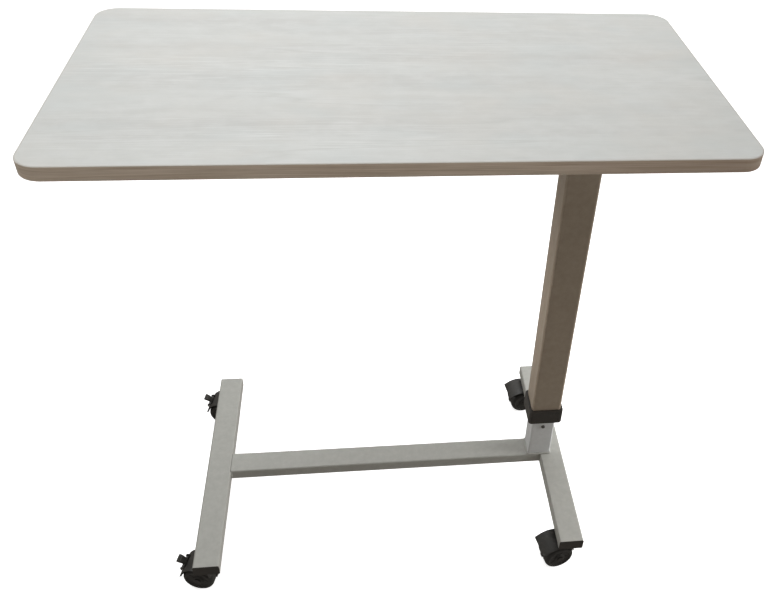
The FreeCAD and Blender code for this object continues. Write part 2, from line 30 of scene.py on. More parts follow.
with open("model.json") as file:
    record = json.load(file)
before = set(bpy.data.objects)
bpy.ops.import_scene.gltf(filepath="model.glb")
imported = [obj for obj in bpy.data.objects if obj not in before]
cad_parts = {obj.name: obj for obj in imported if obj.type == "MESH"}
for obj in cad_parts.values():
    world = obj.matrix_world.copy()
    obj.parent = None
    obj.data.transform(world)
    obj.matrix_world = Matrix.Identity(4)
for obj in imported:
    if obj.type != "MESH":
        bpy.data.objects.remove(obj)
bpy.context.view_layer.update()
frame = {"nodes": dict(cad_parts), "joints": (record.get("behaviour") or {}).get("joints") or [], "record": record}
NODES = frame["nodes"]


# ------------------------------------------------------------------ material helpers
class Mat:
    """A procedural material under construction: thin wrapper over a node tree."""

    def __init__(self, name):
        self.m = bpy.data.materials.new(name)
        self.m.use_nodes = True
        self.t = self.m.node_tree
        self.t.nodes.clear()
        self.out = self.t.nodes.new("ShaderNodeOutputMaterial")
        self.b = self.t.nodes.new("ShaderNodeBsdfPrincipled")
        self.t.links.new(self.b.outputs[0], self.out.inputs[0])
        self.tc = self.t.nodes.new("ShaderNodeTexCoord")
        self.pos = self.tc.outputs["Object"]

    def set(self, sock, value):
        if isinstance(value, bpy.types.NodeSocket):
            self.t.links.new(value, sock)
        else:
            sock.default_value = value

    def node(self, kind, ins=(), **props):
        n = self.t.nodes.new(kind)
        for k, v in props.items():
            setattr(n, k, v)
        for k, v in dict(ins).items():
            self.set(n.inputs[k], v)
        return n

    def scaled(self, x, y, z, at=(0, 0, 0), src=None):
        n = self.node("ShaderNodeMapping", {"Vector": src or self.pos})
        n.inputs["Scale"].default_value = (x, y, z)
        n.inputs["Location"].default_value = at
        return n.outputs[0]

    def noise(self, vec, scale=1.0, detail=4.0, rough=0.55, distort=0.0, color=False):
        n = self.node("ShaderNodeTexNoise", {"Vector": vec, "Scale": scale, "Detail": detail, "Roughness": rough, "Distortion": distort})
        return n.outputs["Color" if color else 0]

    def voronoi(self, vec, scale, feature="F1", rnd=1.0):
        n = self.node("ShaderNodeTexVoronoi", {"Vector": vec, "Scale": scale, "Randomness": rnd}, feature=feature)
        return n.outputs["Distance"]

    def ramp(self, fac, stops):
        n = self.node("ShaderNodeValToRGB", {"Fac": fac})
        e = n.color_ramp.elements
        while len(e) > 1:
            e.remove(e[-1])
        e[0].position = stops[0][0]
        e[0].color = col(stops[0][1])
        for p, c in stops[1:]:
            k = e.new(p)
            k.color = col(c)
        return n.outputs[0]

    def math(self, op, a, b=0.0, c=None, clamp=False):
        n = self.t.nodes.new("ShaderNodeMath")
        n.operation = op
        n.use_clamp = clamp
        self.set(n.inputs[0], a)
        self.set(n.inputs[1], b)
        if c is not None:
            self.set(n.inputs[2], c)
        return n.outputs[0]

    def remap(self, v, a, b, c=0.0, d=1.0, smooth=False):
        n = self.t.nodes.new("ShaderNodeMapRange")
        if smooth:
            n.interpolation_type = "SMOOTHSTEP"
        for k, x in zip(("Value", "From Min", "From Max", "To Min", "To Max"), (v, a, b, c, d)):
            self.set(n.inputs[k], x)
        return n.outputs[0]

    def mix(self, fac, a, b, mode="MIX"):
        n = self.t.nodes.new("ShaderNodeMix")
        n.data_type = "RGBA"
        n.blend_type = mode
        self.set(n.inputs[0], fac)
        self.set(n.inputs[6], col(a) if isinstance(a, (tuple, list)) else a)
        self.set(n.inputs[7], col(b) if isinstance(b, (tuple, list)) else b)
        return n.outputs[2]

    def bump(self, height, strength, dist, normal=None):
        ins = {"Height": height, "Strength": strength, "Distance": dist}
        if normal is not None:
            ins["Normal"] = normal
        return self.node("ShaderNodeBump", ins).outputs[0]

    def edges(self, radius, lo=0.02, hi=0.25):
        """Mask that is 1 along convex and concave edges of the mesh, within about the radius."""
        bv = self.node("ShaderNodeBevel", {"Radius": radius}, samples=4).outputs[0]
        geo = self.node("ShaderNodeNewGeometry").outputs["Normal"]
        dot = self.t.nodes.new("ShaderNodeVectorMath")
        dot.operation = "DOT_PRODUCT"
        self.t.links.new(bv, dot.inputs[0])
        self.t.links.new(geo, dot.inputs[1])
        away = self.math("SUBTRACT", 1.0, dot.outputs["Value"])
        return self.remap(away, lo, hi)

    def axis(self, i):
        return self.node("ShaderNodeSeparateXYZ", {0: self.pos}).outputs[i]

    def base(self, color=None, rough=None, normal=None, **others):
        if color is not None:
            self.set(self.b.inputs["Base Color"], col(color) if isinstance(color, (tuple, list)) else color)
        if rough is not None:
            self.set(self.b.inputs["Roughness"], rough)
        if normal is not None:
            self.set(self.b.inputs["Normal"], normal)
        for k, v in others.items():
            self.b.inputs[k.replace("_", " ")].default_value = v
        return self.m


def col(c):
    return (c[0], c[1], c[2], 1.0)


def lin(r, g, b):
    """A colour given as it looks on a screen, 0 to 255, as linear numbers."""
    def f(v):
        v /= 255.0
        return v / 12.92 if v <= 0.04045 else ((v + 0.055) / 1.055) ** 2.4
    return (f(r), f(g), f(b))


# ------------------------------------------------------------------ materials
def make_top():
    m = Mat("laminate_whitewashed")
    x, y = m.axis(0), m.axis(1)
    warp = m.noise(m.scaled(2.2, 6.0, 1.0), 1.0, 2.0, 0.5)
    bent = m.math("MULTIPLY_ADD", warp, 0.016, y)
    comb = m.node("ShaderNodeCombineXYZ", {0: x, 1: bent, 2: 0.0}).outputs[0]
    hair = m.noise(m.scaled(48.0, 900.0, 1.0, src=comb), 1.0, 4.0, 0.6)
    fine = m.noise(m.scaled(26.0, 300.0, 1.0, (5.2, 2.2, 0), src=comb), 1.0, 5.0, 0.62)
    mid = m.noise(m.scaled(9.0, 90.0, 1.0, (3.1, 0.7, 0), src=comb), 1.0, 5.0, 0.6)
    wide = m.noise(m.scaled(0.9, 22.0, 1.0, (7.7, 1.3, 0), src=comb), 1.0, 3.0, 0.5)
    cloud = m.noise(m.scaled(6.0, 11.0, 1.0, (1.9, 4.2, 0)), 1.0, 3.0, 0.55)
    tint = m.noise(m.scaled(9.0, 16.0, 1.0, (8.9, 0.2, 0)), 1.0, 2.0, 0.5)
    dash = m.noise(m.scaled(11.0, 520.0, 1.0, (0.3, 0.9, 0), src=comb), 1.0, 4.0, 0.6)
    planks = m.noise(m.scaled(1.6, 9.0, 1.0, (2.6, 6.1, 0)), 1.0, 2.0, 0.6)
    # broad tone of the sheet, mottled, then faint streaks of decreasing width
    mott = m.noise(m.scaled(34.0, 62.0, 1.0, (4.4, 7.9, 0)), 1.0, 5.0, 0.62)
    c = m.ramp(m.remap(wide, 0.28, 0.72), [(0.0, TOP_DARK), (0.5, TOP_MID), (1.0, TOP_MID)])
    c = m.mix(m.remap(mott, 0.44, 0.70, 0.0, 0.40), c, TOP_LIGHT)
    c = m.mix(m.remap(mott, 0.46, 0.26, 0.0, 0.32), c, TOP_DARK)
    c = m.mix(m.remap(mid, 0.50, 0.74, 0.0, 0.25), c, TOP_LIGHT)
    c = m.mix(m.remap(mid, 0.44, 0.24, 0.0, 0.22), c, TOP_DARK)
    c = m.mix(m.remap(fine, 0.44, 0.24, 0.0, 0.24), c, TOP_GRAIN)
    c = m.mix(m.remap(hair, 0.42, 0.26, 0.0, 0.18), c, TOP_GRAIN)
    c = m.mix(m.remap(cloud, 0.46, 0.74, 0.0, 0.55), c, TOP_WARM)
    c = m.mix(m.remap(tint, 0.52, 0.28, 0.0, 0.40), c, TOP_COOL)
    # limed streaks, gathered where boards would meet
    lime = m.math("MULTIPLY", m.remap(dash, 0.52, 0.66), m.remap(planks, 0.48, 0.66, 0.04, 0.52))
    c = m.mix(lime, c, lin(226, 227, 226))
    # long seams: a thin dark line with a paler strip on the near side
    ridge = m.noise(m.scaled(0.75, 15.0, 1.0, (2.1, 8.8, 0), src=comb), 1.0, 2.0, 0.35)
    off = m.math("SUBTRACT", ridge, 0.50)
    away = m.math("ABSOLUTE", off, 0.0)
    keep = m.remap(planks, 0.40, 0.56, 0.15, 1.0)
    pale = m.math("MULTIPLY", m.remap(off, 0.045, 0.004, 0.0, 0.30), m.math("GREATER_THAN", off, 0.0))
    c = m.mix(m.math("MULTIPLY", pale, keep), c, TOP_LIGHT)
    c = m.mix(m.math("MULTIPLY", m.remap(away, 0.008, 0.001, 0.0, 0.28), keep), c, TOP_GRAIN)
    h = m.math("ADD", m.math("MULTIPLY", fine, 0.7), m.math("MULTIPLY", hair, 0.5))
    r = m.remap(m.math("ADD", fine, mid), 0.7, 1.3, 0.46, 0.36)
    return m.base(c, r, m.bump(h, 0.20, 0.00008), Specular_IOR_Level=0.42)


TOP_LIGHT = lin(211, 212, 211)
TOP_MID = lin(199, 200, 198)
TOP_DARK = lin(190, 190, 188)
TOP_GRAIN = lin(178, 178, 174)
TOP_WARM = lin(202, 199, 194)
TOP_COOL = lin(193, 198, 198)


def make_band():
    m = Mat("edging_taupe_grain")
    v = m.scaled(9.0, 9.0, 620.0)
    warp = m.noise(m.scaled(14.0, 14.0, 120.0), 1.0, 2.0, 0.5)
    s1 = m.noise(v, 1.0, 5.0, 0.62, 0.3)
    s2 = m.noise(m.scaled(26.0, 26.0, 1500.0), 1.0, 3.0, 0.6)
    s3 = m.noise(m.scaled(2.4, 2.4, 30.0), 1.0, 2.0, 0.5)
    c = m.ramp(m.remap(s1, 0.30, 0.70), [(0.0, BAND_DARK), (0.45, BAND_MID), (1.0, BAND_LIGHT)])
    c = m.mix(m.remap(s2, 0.46, 0.28, 0.0, 0.45), c, BAND_DARK)
    c = m.mix(m.remap(s3, 0.40, 0.70, 0.0, 0.30), c, BAND_RED)
    c = m.mix(m.remap(warp, 0.52, 0.70, 0.0, 0.25), c, BAND_LIGHT)
    # the strip is a little darker and redder towards the column end
    c = m.mix(m.remap(m.axis(0), 0.05, 0.42, 0.0, 0.55, True), c, BAND_END)
    # the trimmed upper edge is painted pale: partly the pale sheet's own edge, partly a painted highlight along the
    # rounded lip
    z = m.axis(2)
    c = m.mix(m.remap(z, 0.79600, 0.79675, 0.0, 0.88, True), c, BAND_LIP_HIGHLIGHT)
    r = m.remap(s1, 0.3, 0.7, 0.46, 0.36)
    return m.base(c, r, m.bump(m.math("ADD", s1, s2), 0.18, 0.0001), Specular_IOR_Level=0.45)


BAND_DARK = lin(151, 137, 122)
BAND_MID = lin(186, 172, 156)
BAND_LIGHT = lin(207, 194, 180)
BAND_RED = lin(182, 157, 138)
# pale lip colour: the sheet's edge lifted by a painted highlight
BAND_LIP_HIGHLIGHT = lin(191, 190, 187)
BAND_END = lin(143, 121, 105)


def make_paint(name, color, dark, light, wear_and_highlight, rough=0.40, peel=1.0, coat=0.0):
    """Powder coat: orange peel, slight cloudiness, dusty marks, and edges painted lighter, partly as rubbed paint and
    partly as a painted highlight.
    """
    m = Mat(name)
    peel_n = m.noise(m.pos, 900.0, 2.0, 0.5)
    peel_w = m.noise(m.pos, 260.0, 2.0, 0.5)
    cloud = m.noise(m.scaled(1.0, 1.0, 0.5), 7.0, 4.0, 0.6)
    speck = m.noise(m.pos, 2400.0, 1.0, 0.4)
    scuff = m.noise(m.scaled(60.0, 60.0, 14.0, (0.4, 1.7, 2.2)), 1.0, 4.0, 0.7)
    haze = m.noise(m.scaled(1.0, 1.0, 1.0, (2.7, 0.3, 5.1)), 95.0, 5.0, 0.65)
    c = m.mix(m.remap(cloud, 0.30, 0.70), dark, light)
    c = m.mix(m.remap(haze, 0.36, 0.66), m.mix(0.5, c, tuple(v * 0.95 for v in dark)), m.mix(0.5, c, tuple(min(1.0, v * 1.05) for v in light)))
    c = m.mix(m.remap(speck, 0.62, 0.74, 0.0, 0.25), c, light)
    c = m.mix(m.remap(scuff, 0.66, 0.80, 0.0, 0.35), c, wear_and_highlight)
    # edges painted lighter: partly rubbed paint, partly a painted highlight standing in for light on rounded edges
    rubbed_and_highlit = m.math("MULTIPLY", m.edges(0.0012), m.remap(cloud, 0.35, 0.65, 0.25, 0.8))
    c = m.mix(m.math("MULTIPLY", rubbed_and_highlit, 0.45), c, wear_and_highlight)
    r = m.remap(scuff, 0.3, 0.8, rough - 0.06, rough + 0.14)
    h = m.math("ADD", m.math("MULTIPLY", peel_n, 0.6), peel_w)
    return m.base(c, r, m.bump(h, 0.10 * peel, 0.0002), Specular_IOR_Level=0.45, Coat_Weight=coat, Coat_Roughness=0.25)


def make_plastic(name, dark, light, dust_and_highlight, rough=0.46, grain=1400.0, spec=0.45):
    """Moulded black plastic: fine spark-eroded grain, flow marks, dust, and edges painted lighter, partly as dust and
    partly as a painted highlight.
    """
    m = Mat(name)
    g = m.noise(m.pos, grain, 2.0, 0.55)
    g2 = m.voronoi(m.pos, grain * 0.8)
    flow = m.noise(m.scaled(1.0, 1.0, 2.2), 38.0, 4.0, 0.62, 0.6)
    dustn = m.noise(m.pos, 140.0, 5.0, 0.68)
    c = m.mix(m.remap(flow, 0.30, 0.72), dark, light)
    c = m.mix(m.remap(dustn, 0.52, 0.78, 0.0, 0.40), c, dust_and_highlight)
    # edges painted lighter in the dust colour: partly dust, partly a painted highlight along the edges
    c = m.mix(m.math("MULTIPLY", m.edges(0.0008), 0.35), c, dust_and_highlight)
    r = m.remap(flow, 0.3, 0.7, rough - 0.07, rough + 0.10)
    h = m.math("ADD", g, m.math("MULTIPLY", g2, 0.5))
    return m.base(c, r, m.bump(h, 0.14, 0.00012), Specular_IOR_Level=spec)


def make_metal(name, color, stain, rough=0.34, brushed=(1.0, 1.0, 1.0), metallic=1.0, scratch=0.3):
    m = Mat(name)
    br = m.noise(m.scaled(*[900.0 * b for b in brushed]), 1.0, 3.0, 0.6)
    spot = m.noise(m.pos, 160.0, 4.0, 0.62)
    c = m.mix(m.remap(spot, 0.35, 0.72, 0.0, 0.6), color, stain)
    c = m.mix(m.remap(br, 0.36, 0.66, 0.0, scratch), c, tuple(min(1.0, v * 1.25) for v in color))
    r = m.remap(br, 0.3, 0.7, rough - 0.08, rough + 0.12)
    return m.base(c, r, m.bump(br, 0.10, 0.0001), Metallic=metallic)


def make_board():
    m = Mat("particle_board")
    chips = m.voronoi(m.scaled(1.0, 1.0, 1.8), 420.0)
    chip_c = m.noise(m.pos, 300.0, 4.0, 0.6)
    c = m.ramp(m.remap(chip_c, 0.3, 0.7), [(0.0, lin(120, 92, 62)), (0.5, lin(168, 138, 100)), (1.0, lin(205, 180, 142))])
    c = m.mix(m.remap(chips, 0.2, 0.6, 0.0, 0.4), c, lin(146, 116, 80))
    return m.base(c, 0.82, m.bump(chips, 0.5, 0.0004), Specular_IOR_Level=0.2)


def make_backing():
    m = Mat("backing_sheet")
    tex = m.noise(m.pos, 700.0, 3.0, 0.6)
    cloud = m.noise(m.scaled(2.0, 5.0, 1.0), 1.6, 3.0, 0.5)
    c = m.mix(m.remap(cloud, 0.3, 0.7), lin(206, 205, 198), lin(218, 217, 211))
    c = m.mix(m.remap(tex, 0.55, 0.75, 0.0, 0.25), c, lin(190, 188, 180))
    return m.base(c, m.remap(tex, 0.3, 0.7, 0.55, 0.68), m.bump(tex, 0.2, 0.0001), Specular_IOR_Level=0.35)


def make_nylon():
    m = Mat("nylon_natural")
    flow = m.noise(m.scaled(1.0, 1.0, 0.4), 60.0, 4.0, 0.6)
    c = m.mix(m.remap(flow, 0.3, 0.7), lin(222, 219, 205), lin(236, 233, 222))
    return m.base(c, m.remap(flow, 0.3, 0.7, 0.38, 0.5), m.bump(flow, 0.1, 0.0002), Subsurface_Weight=0.12, Subsurface_Scale=0.004)


GREY = lin(166, 166, 161)
POST = make_paint("powder_coat_post", lin(202, 204, 205), lin(199, 201, 202), lin(206, 208, 209), lin(218, 219, 219), 0.34)
MATS = {
    "top_laminate": make_top(),
    "edge_band": make_band(),
    "grey_paint": make_paint("powder_coat_grey", GREY, lin(162, 162, 157), lin(170, 170, 165), lin(189, 189, 184), 0.42),
    "taupe_paint": make_paint("powder_coat_taupe", lin(147, 134, 118), lin(142, 129, 114), lin(152, 139, 123), lin(171, 160, 145), 0.44),
    "black_plastic": make_plastic("plastic_black", lin(39, 37, 34), lin(54, 50, 46), lin(80, 76, 69), 0.52),
    "natural_nylon": make_nylon(),
    "black_paint": make_paint("stoved_black", lin(30, 30, 30), lin(26, 26, 26), lin(38, 38, 38), lin(80, 80, 78), 0.30, 0.5),
    "chrome_rod": make_metal("hard_chrome", (0.78, 0.78, 0.80), (0.66, 0.66, 0.68), 0.12, (1, 1, 0.05), 1.0, 0.15),
    "zinc_steel": make_metal("zinc_plate", (0.62, 0.62, 0.60), (0.46, 0.46, 0.43), 0.34),
    "black_steel": make_metal("blackened_steel", (0.06, 0.06, 0.06), (0.10, 0.09, 0.08), 0.42),
    "caster_black": make_plastic("nylon_black_hood", lin(42, 41, 40), lin(60, 58, 55), lin(92, 89, 84), 0.44, 1200.0),
    "wheel_black": make_plastic("nylon_black_wheel", lin(32, 32, 31), lin(47, 46, 44), lin(82, 80, 76), 0.50, 1000.0),
    "wood_core": make_board(),
    "backing_laminate": make_backing(),
}

DULL = make_metal("zinc_dull", (0.21, 0.21, 0.20), (0.13, 0.13, 0.12), 0.50)

slot_of = {s["node"]: s["material_slot"] for s in frame["record"]["subparts"]}
for name, ob in NODES.items():
    ob.data.materials.clear()
    ob.data.materials.append({"inner_post": POST, "anchor_bolt": DULL}.get(name) or MATS[slot_of[name]])


# ------------------------------------------------------------------ mesh helpers
def new_object(name, bm, slot, smooth=True):
    me = bpy.data.meshes.new(name)
    bmesh.ops.recalc_face_normals(bm, faces=bm.faces)
    bm.to_mesh(me)
    bm.free()
    if smooth:
        me.polygons.foreach_set("use_smooth", [True] * len(me.polygons))
    ob = bpy.data.objects.new(name, me)
    bpy.context.scene.collection.objects.link(ob)
    me.materials.append(MATS[slot])
    return ob


def wobble(i, k=1.0):
    """Repeatable small variation, -1 to 1."""
    return math.sin(i * 12.9898 * k + 4.1) * 0.6 + math.sin(i * 7.233 * k + 1.7) * 0.4


def bead(name, path, up, side, body, slot, r=0.0022, closed=False, pitch=0.0032):
    """Weld bead along a polyline: overlapping scallops in cross section r, leaning from up to side."""
    pts = [Vector(p) for p in path]
    if closed:
        pts.append(pts[0])
    dense, ups, sides = [], [], []
    for i in range(len(pts) - 1):
        a, b = pts[i], pts[i + 1]
        n = max(1, int((b - a).length / 0.0008))
        for j in range(n):
            dense.append(a.lerp(b, j / n))
            ups.append(Vector(up[i % len(up)]).lerp(Vector(up[(i + 1) % len(up)]), j / n).normalized())
            sides.append(Vector(side[i % len(side)]).lerp(Vector(side[(i + 1) % len(side)]), j / n).normalized())
    if not closed:
        dense.append(pts[-1]); ups.append(Vector(up[-1])); sides.append(Vector(side[-1]))
    bm = bmesh.new()
    rings, s = [], 0.0
    N = 9
    for i, p in enumerate(dense):
        if i:
            s += (p - dense[i - 1]).length
        ph = (s / pitch) % 1.0
        k = r * (0.86 + 0.22 * math.sqrt(max(0.0, 1 - (2 * ph - 1) ** 2)) + 0.06 * wobble(int(s / pitch)))
        if not closed:
            end = min(i, len(dense) - 1 - i)
            k *= min(1.0, 0.35 + end * 0.2)
        ring = []
        for j in range(N):
            a = (j / (N - 1)) * math.pi / 2
            prof = 0.80 + 0.10 * math.sin(2 * a)
            ring.append(bm.verts.new(p + (ups[i] * math.sin(a) + sides[i] * math.cos(a)) * k * prof))
        ring.append(bm.verts.new(p - (ups[i] + sides[i]) * 0.0004))
        rings.append(ring)
    m = len(rings[0])
    cnt = len(rings) if closed else len(rings) - 1
    for i in range(cnt):
        a, b = rings[i], rings[(i + 1) % len(rings)]
        for j in range(m):
            bm.faces.new((a[j], a[(j + 1) % m], b[(j + 1) % m], b[j]))
    if not closed:
        bm.faces.new(rings[0][::-1])
        bm.faces.new(rings[-1])
    ob = new_object(name, bm, slot)
    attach(ob, body)
    return ob


def rrect(w, h, r, n=6, cx=0.0, cy=0.0):
    """Rounded rectangle points with outward directions."""
    out = []
    for qx, qy, a0 in ((1, 1, 0), (-1, 1, 90), (-1, -1, 180), (1, -1, 270)):
        for i in range(n + 1):
            a = math.radians(a0 + 90.0 * i / n)
            d = (math.cos(a), math.sin(a))
            out.append(((cx + qx * (w / 2 - r) + d[0] * r, cy + qy * (h / 2 - r) + d[1] * r), d))
    return out


# ------------------------------------------------------------------ weld beads
plo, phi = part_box("inner_post")
pcx, pcy = (plo.x + phi.x) / 2, (plo.y + phi.y) / 2
Z = Vector((0, 0, 1))
rp = rrect(phi.x - plo.x, phi.y - plo.y, 0.003, 5, pcx, pcy)
bead("weld_post_foot", [(p[0], p[1], plo.z) for p, d in rp], [Z] * len(rp), [Vector((d[0], d[1], 0)) for p, d in rp], "base", "grey_paint", 0.0030, True)
clo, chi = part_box("outer_column")
rc = rrect(chi.x - clo.x, chi.y - clo.y, 0.004, 5, (clo.x + chi.x) / 2, (clo.y + chi.y) / 2)
bead("weld_column_head", [(p[0], p[1], chi.z) for p, d in rc], [-Z] * len(rc), [Vector((d[0], d[1], 0)) for p, d in rc], "table", "taupe_paint", 0.0030, True)
blo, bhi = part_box("crossbar")
for nm, x, sx in (("left", blo.x, 1.0), ("right", bhi.x, -1.0)):
    for tag, y, sy in (("front", blo.y, -1.0), ("rear", bhi.y, 1.0)):
        bead("weld_leg_%s_%s" % (nm, tag), [(x, y, blo.z + 0.002), (x, y, bhi.z - 0.002)], [(0, sy, 0)] * 2, [(sx, 0, 0)] * 2, "base", "grey_paint", 0.0024)
hlo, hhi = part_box("head_plate")
for nd in ("support_rail_front", "support_rail_rear"):
    rlo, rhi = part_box(nd)
    for tag, y, sy in (("a", rlo.y + 0.0016, -1.0), ("b", rhi.y - 0.0016, 1.0)):
        bead("weld_%s_%s" % (nd, tag), [(hlo.x + 0.012, y, hhi.z), (hhi.x - 0.012, y, hhi.z)], [Z] * 2, [(0, sy, 0)] * 2, "table", "taupe_paint", 0.0022)

# ------------------------------------------------------------------ solid building blocks
def loft(bm, rings):
    """Closed solid through a list of equal closed loops."""
    vs = [[bm.verts.new(p) for p in ring] for ring in rings]
    n = len(vs[0])
    for a, b in zip(vs, vs[1:]):
        for j in range(n):
            bm.faces.new((a[j], a[(j + 1) % n], b[(j + 1) % n], b[j]))
    bm.faces.new(vs[0][::-1])
    bm.faces.new(vs[-1])


def lathe(bm, profile, segs=64, cx=0.0, cz=0.0, bend=None, axis="y"):
    """Solid of revolution of a closed (radius, along) outline about an axis along Y, or about Z."""
    rings = []
    for i in range(segs):
        a = 2 * math.pi * i / segs
        ring = []
        for k, (r, y) in enumerate(profile):
            if bend:
                r, y = bend(k, r, y, a)
            if axis == "y":
                ring.append(bm.verts.new((cx + r * math.cos(a), y, cz + r * math.sin(a))))
            else:
                ring.append(bm.verts.new((cx + r * math.cos(a), cz + r * math.sin(a), y)))
        rings.append(ring)
    n = len(profile)
    for i in range(segs):
        a, b = rings[i], rings[(i + 1) % segs]
        for j in range(n):
            bm.faces.new((a[j], a[(j + 1) % n], b[(j + 1) % n], b[j]))


def soften(bm, width, angle=35.0, segs=2):
    """Rounds the sharp edges of a mesh under construction."""
    bmesh.ops.recalc_face_normals(bm, faces=bm.faces)
    sharp = [e for e in bm.edges if len(e.link_faces) == 2 and e.calc_face_angle(0) > math.radians(angle)]
    bmesh.ops.bevel(bm, geom=sharp, offset=width, segments=segs, affect="EDGES", profile=0.6, clamp_overlap=True)


def shell_ring(o, i, half, r=0.0026, crown=0.0005, n_side=5, n_flat=8, lo=None):
    """One cross loop of a curved cover: o and i are its outer and inner points (x, z), half its half width."""
    o, i = Vector(o), Vector(i)
    t = (o - i).length
    d = (i - o) / t
    r = min(r, t * 0.95)
    y0, y1 = (-half, half) if lo is None else lo
    mid, w = (y0 + y1) / 2, (y1 - y0) / 2
    pts = []
    for k in range(n_side + 1):
        a = math.pi / 2 * k / n_side
        pts.append((y0 + r * (1 - math.sin(a)), r * (1 - math.cos(math.pi / 2 - a))))
    for k in range(1, n_flat):
        pts.append((y0 + r + (y1 - y0 - 2 * r) * k / n_flat, 0.0))
    for k in range(n_side + 1):
        a = math.pi / 2 * (1 - k / n_side)
        pts.append((y1 - r * (1 - math.sin(a)), r * (1 - math.cos(math.pi / 2 - a))))
    ring = []
    for y, dep in pts:
        lift = crown * (1 - (y / half) ** 2)
        q = o + d * (dep - lift)
        ring.append((q.x, y, q.y))
    for k in range(n_flat + 1):
        y = y1 - 0.0004 - (y1 - y0 - 0.0008) * k / n_flat
        ring.append((i.x, y, i.y))
    return ring


def spline(pts, n):
    """Catmull-Rom curve through 2D points, n steps a span."""
    P = [Vector(p) for p in pts]
    P = [P[0] * 2 - P[1]] + P + [P[-1] * 2 - P[-2]]
    out = []
    for k in range(1, len(P) - 2):
        for j in range(n):
            t = j / n
            a, b, c, d = P[k - 1], P[k], P[k + 1], P[k + 2]
            out.append(0.5 * ((2 * b) + (c - a) * t + (2 * a - 5 * b + 4 * c - d) * t * t + (3 * b - a - 3 * c + d) * t ** 3))
    out.append(P[-2])
    return out


def polar(r, deg):
    return (r * math.cos(math.radians(deg)), r * math.sin(math.radians(deg)))


# ------------------------------------------------------------------ castors
JOINT = {j["name"]: j for j in frame["joints"]}
MM = 0.001


def caster_frame(key):
    """Matrix from castor coordinates (swivel axis at the origin, wheels trailing towards -X) to the model."""
    stem = Vector(JOINT["caster_%s_swivel" % key]["pos_m"])
    ax = JOINT["wheel_%s_front_spin" % key]["axis"]
    turn = math.atan2(-ax[0], ax[1])
    return Matrix.Translation((stem.x, stem.y, 0)) @ Matrix.Rotation(turn, 4, "Z")


def hub_of(key):
    stem = Vector(JOINT["caster_%s_swivel" % key]["pos_m"])
    axle = Vector(JOINT["wheel_%s_front_spin" % key]["pos_m"])
    return -(Vector((axle.x, axle.y)) - Vector((stem.x, stem.y))).length, axle.z


def finish_piece(name, bm, M, slot, body, node, smooth_angle=40.0):
    bm.transform(M)
    ob = new_object(name, bm, slot)
    me = ob.data
    try:
        me.set_sharp_from_angle(angle=math.radians(smooth_angle))
    except AttributeError:
        pass
    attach(ob, body)
    if node:
        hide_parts(node)
    return ob


def web_plate(bm, cx, cz, radius, a0, a1):
    """Plate between the two wheels that carries the axle."""
    out = []
    n = 40
    for k in range(n + 1):
        a = a0 + (a1 - a0) * k / n
        x, z = polar(radius if not callable(radius) else radius(a), a)
        out.append((x, z))
    out.append((-0.0115, -0.0076))
    for k in range(9):
        x, z = polar(0.0082, 215 + 110 * k / 8)
        out.append((x, z))
    out.append((0.0115, -0.0076))
    rings = [[(cx + x, y, cz + z) for x, z in out] for y in (-0.0030, 0.0030)]
    loft(bm, rings)


def stem_boss(bm):
    """Raised collar round the stem, blending into the crown."""
    prof = [(0.0042, 0.0575), (0.0048, 0.0580), (0.0086, 0.0580), (0.0093, 0.0577), (0.0096, 0.0571), (0.0097, 0.0555),
            (0.0101, 0.0543), (0.0110, 0.0532), (0.0124, 0.0524), (0.0124, 0.0505), (0.0095, 0.0490), (0.0042, 0.0490)]
    lathe(bm, prof, 56, axis="z")


def hood_rings(cx, cz, outer, inner, half, crown, lo=None):
    return [[(cx + x, y, cz + z) for x, y, z in shell_ring(o, i, half, crown=crown, lo=lo)] for o, i in zip(outer, inner)]


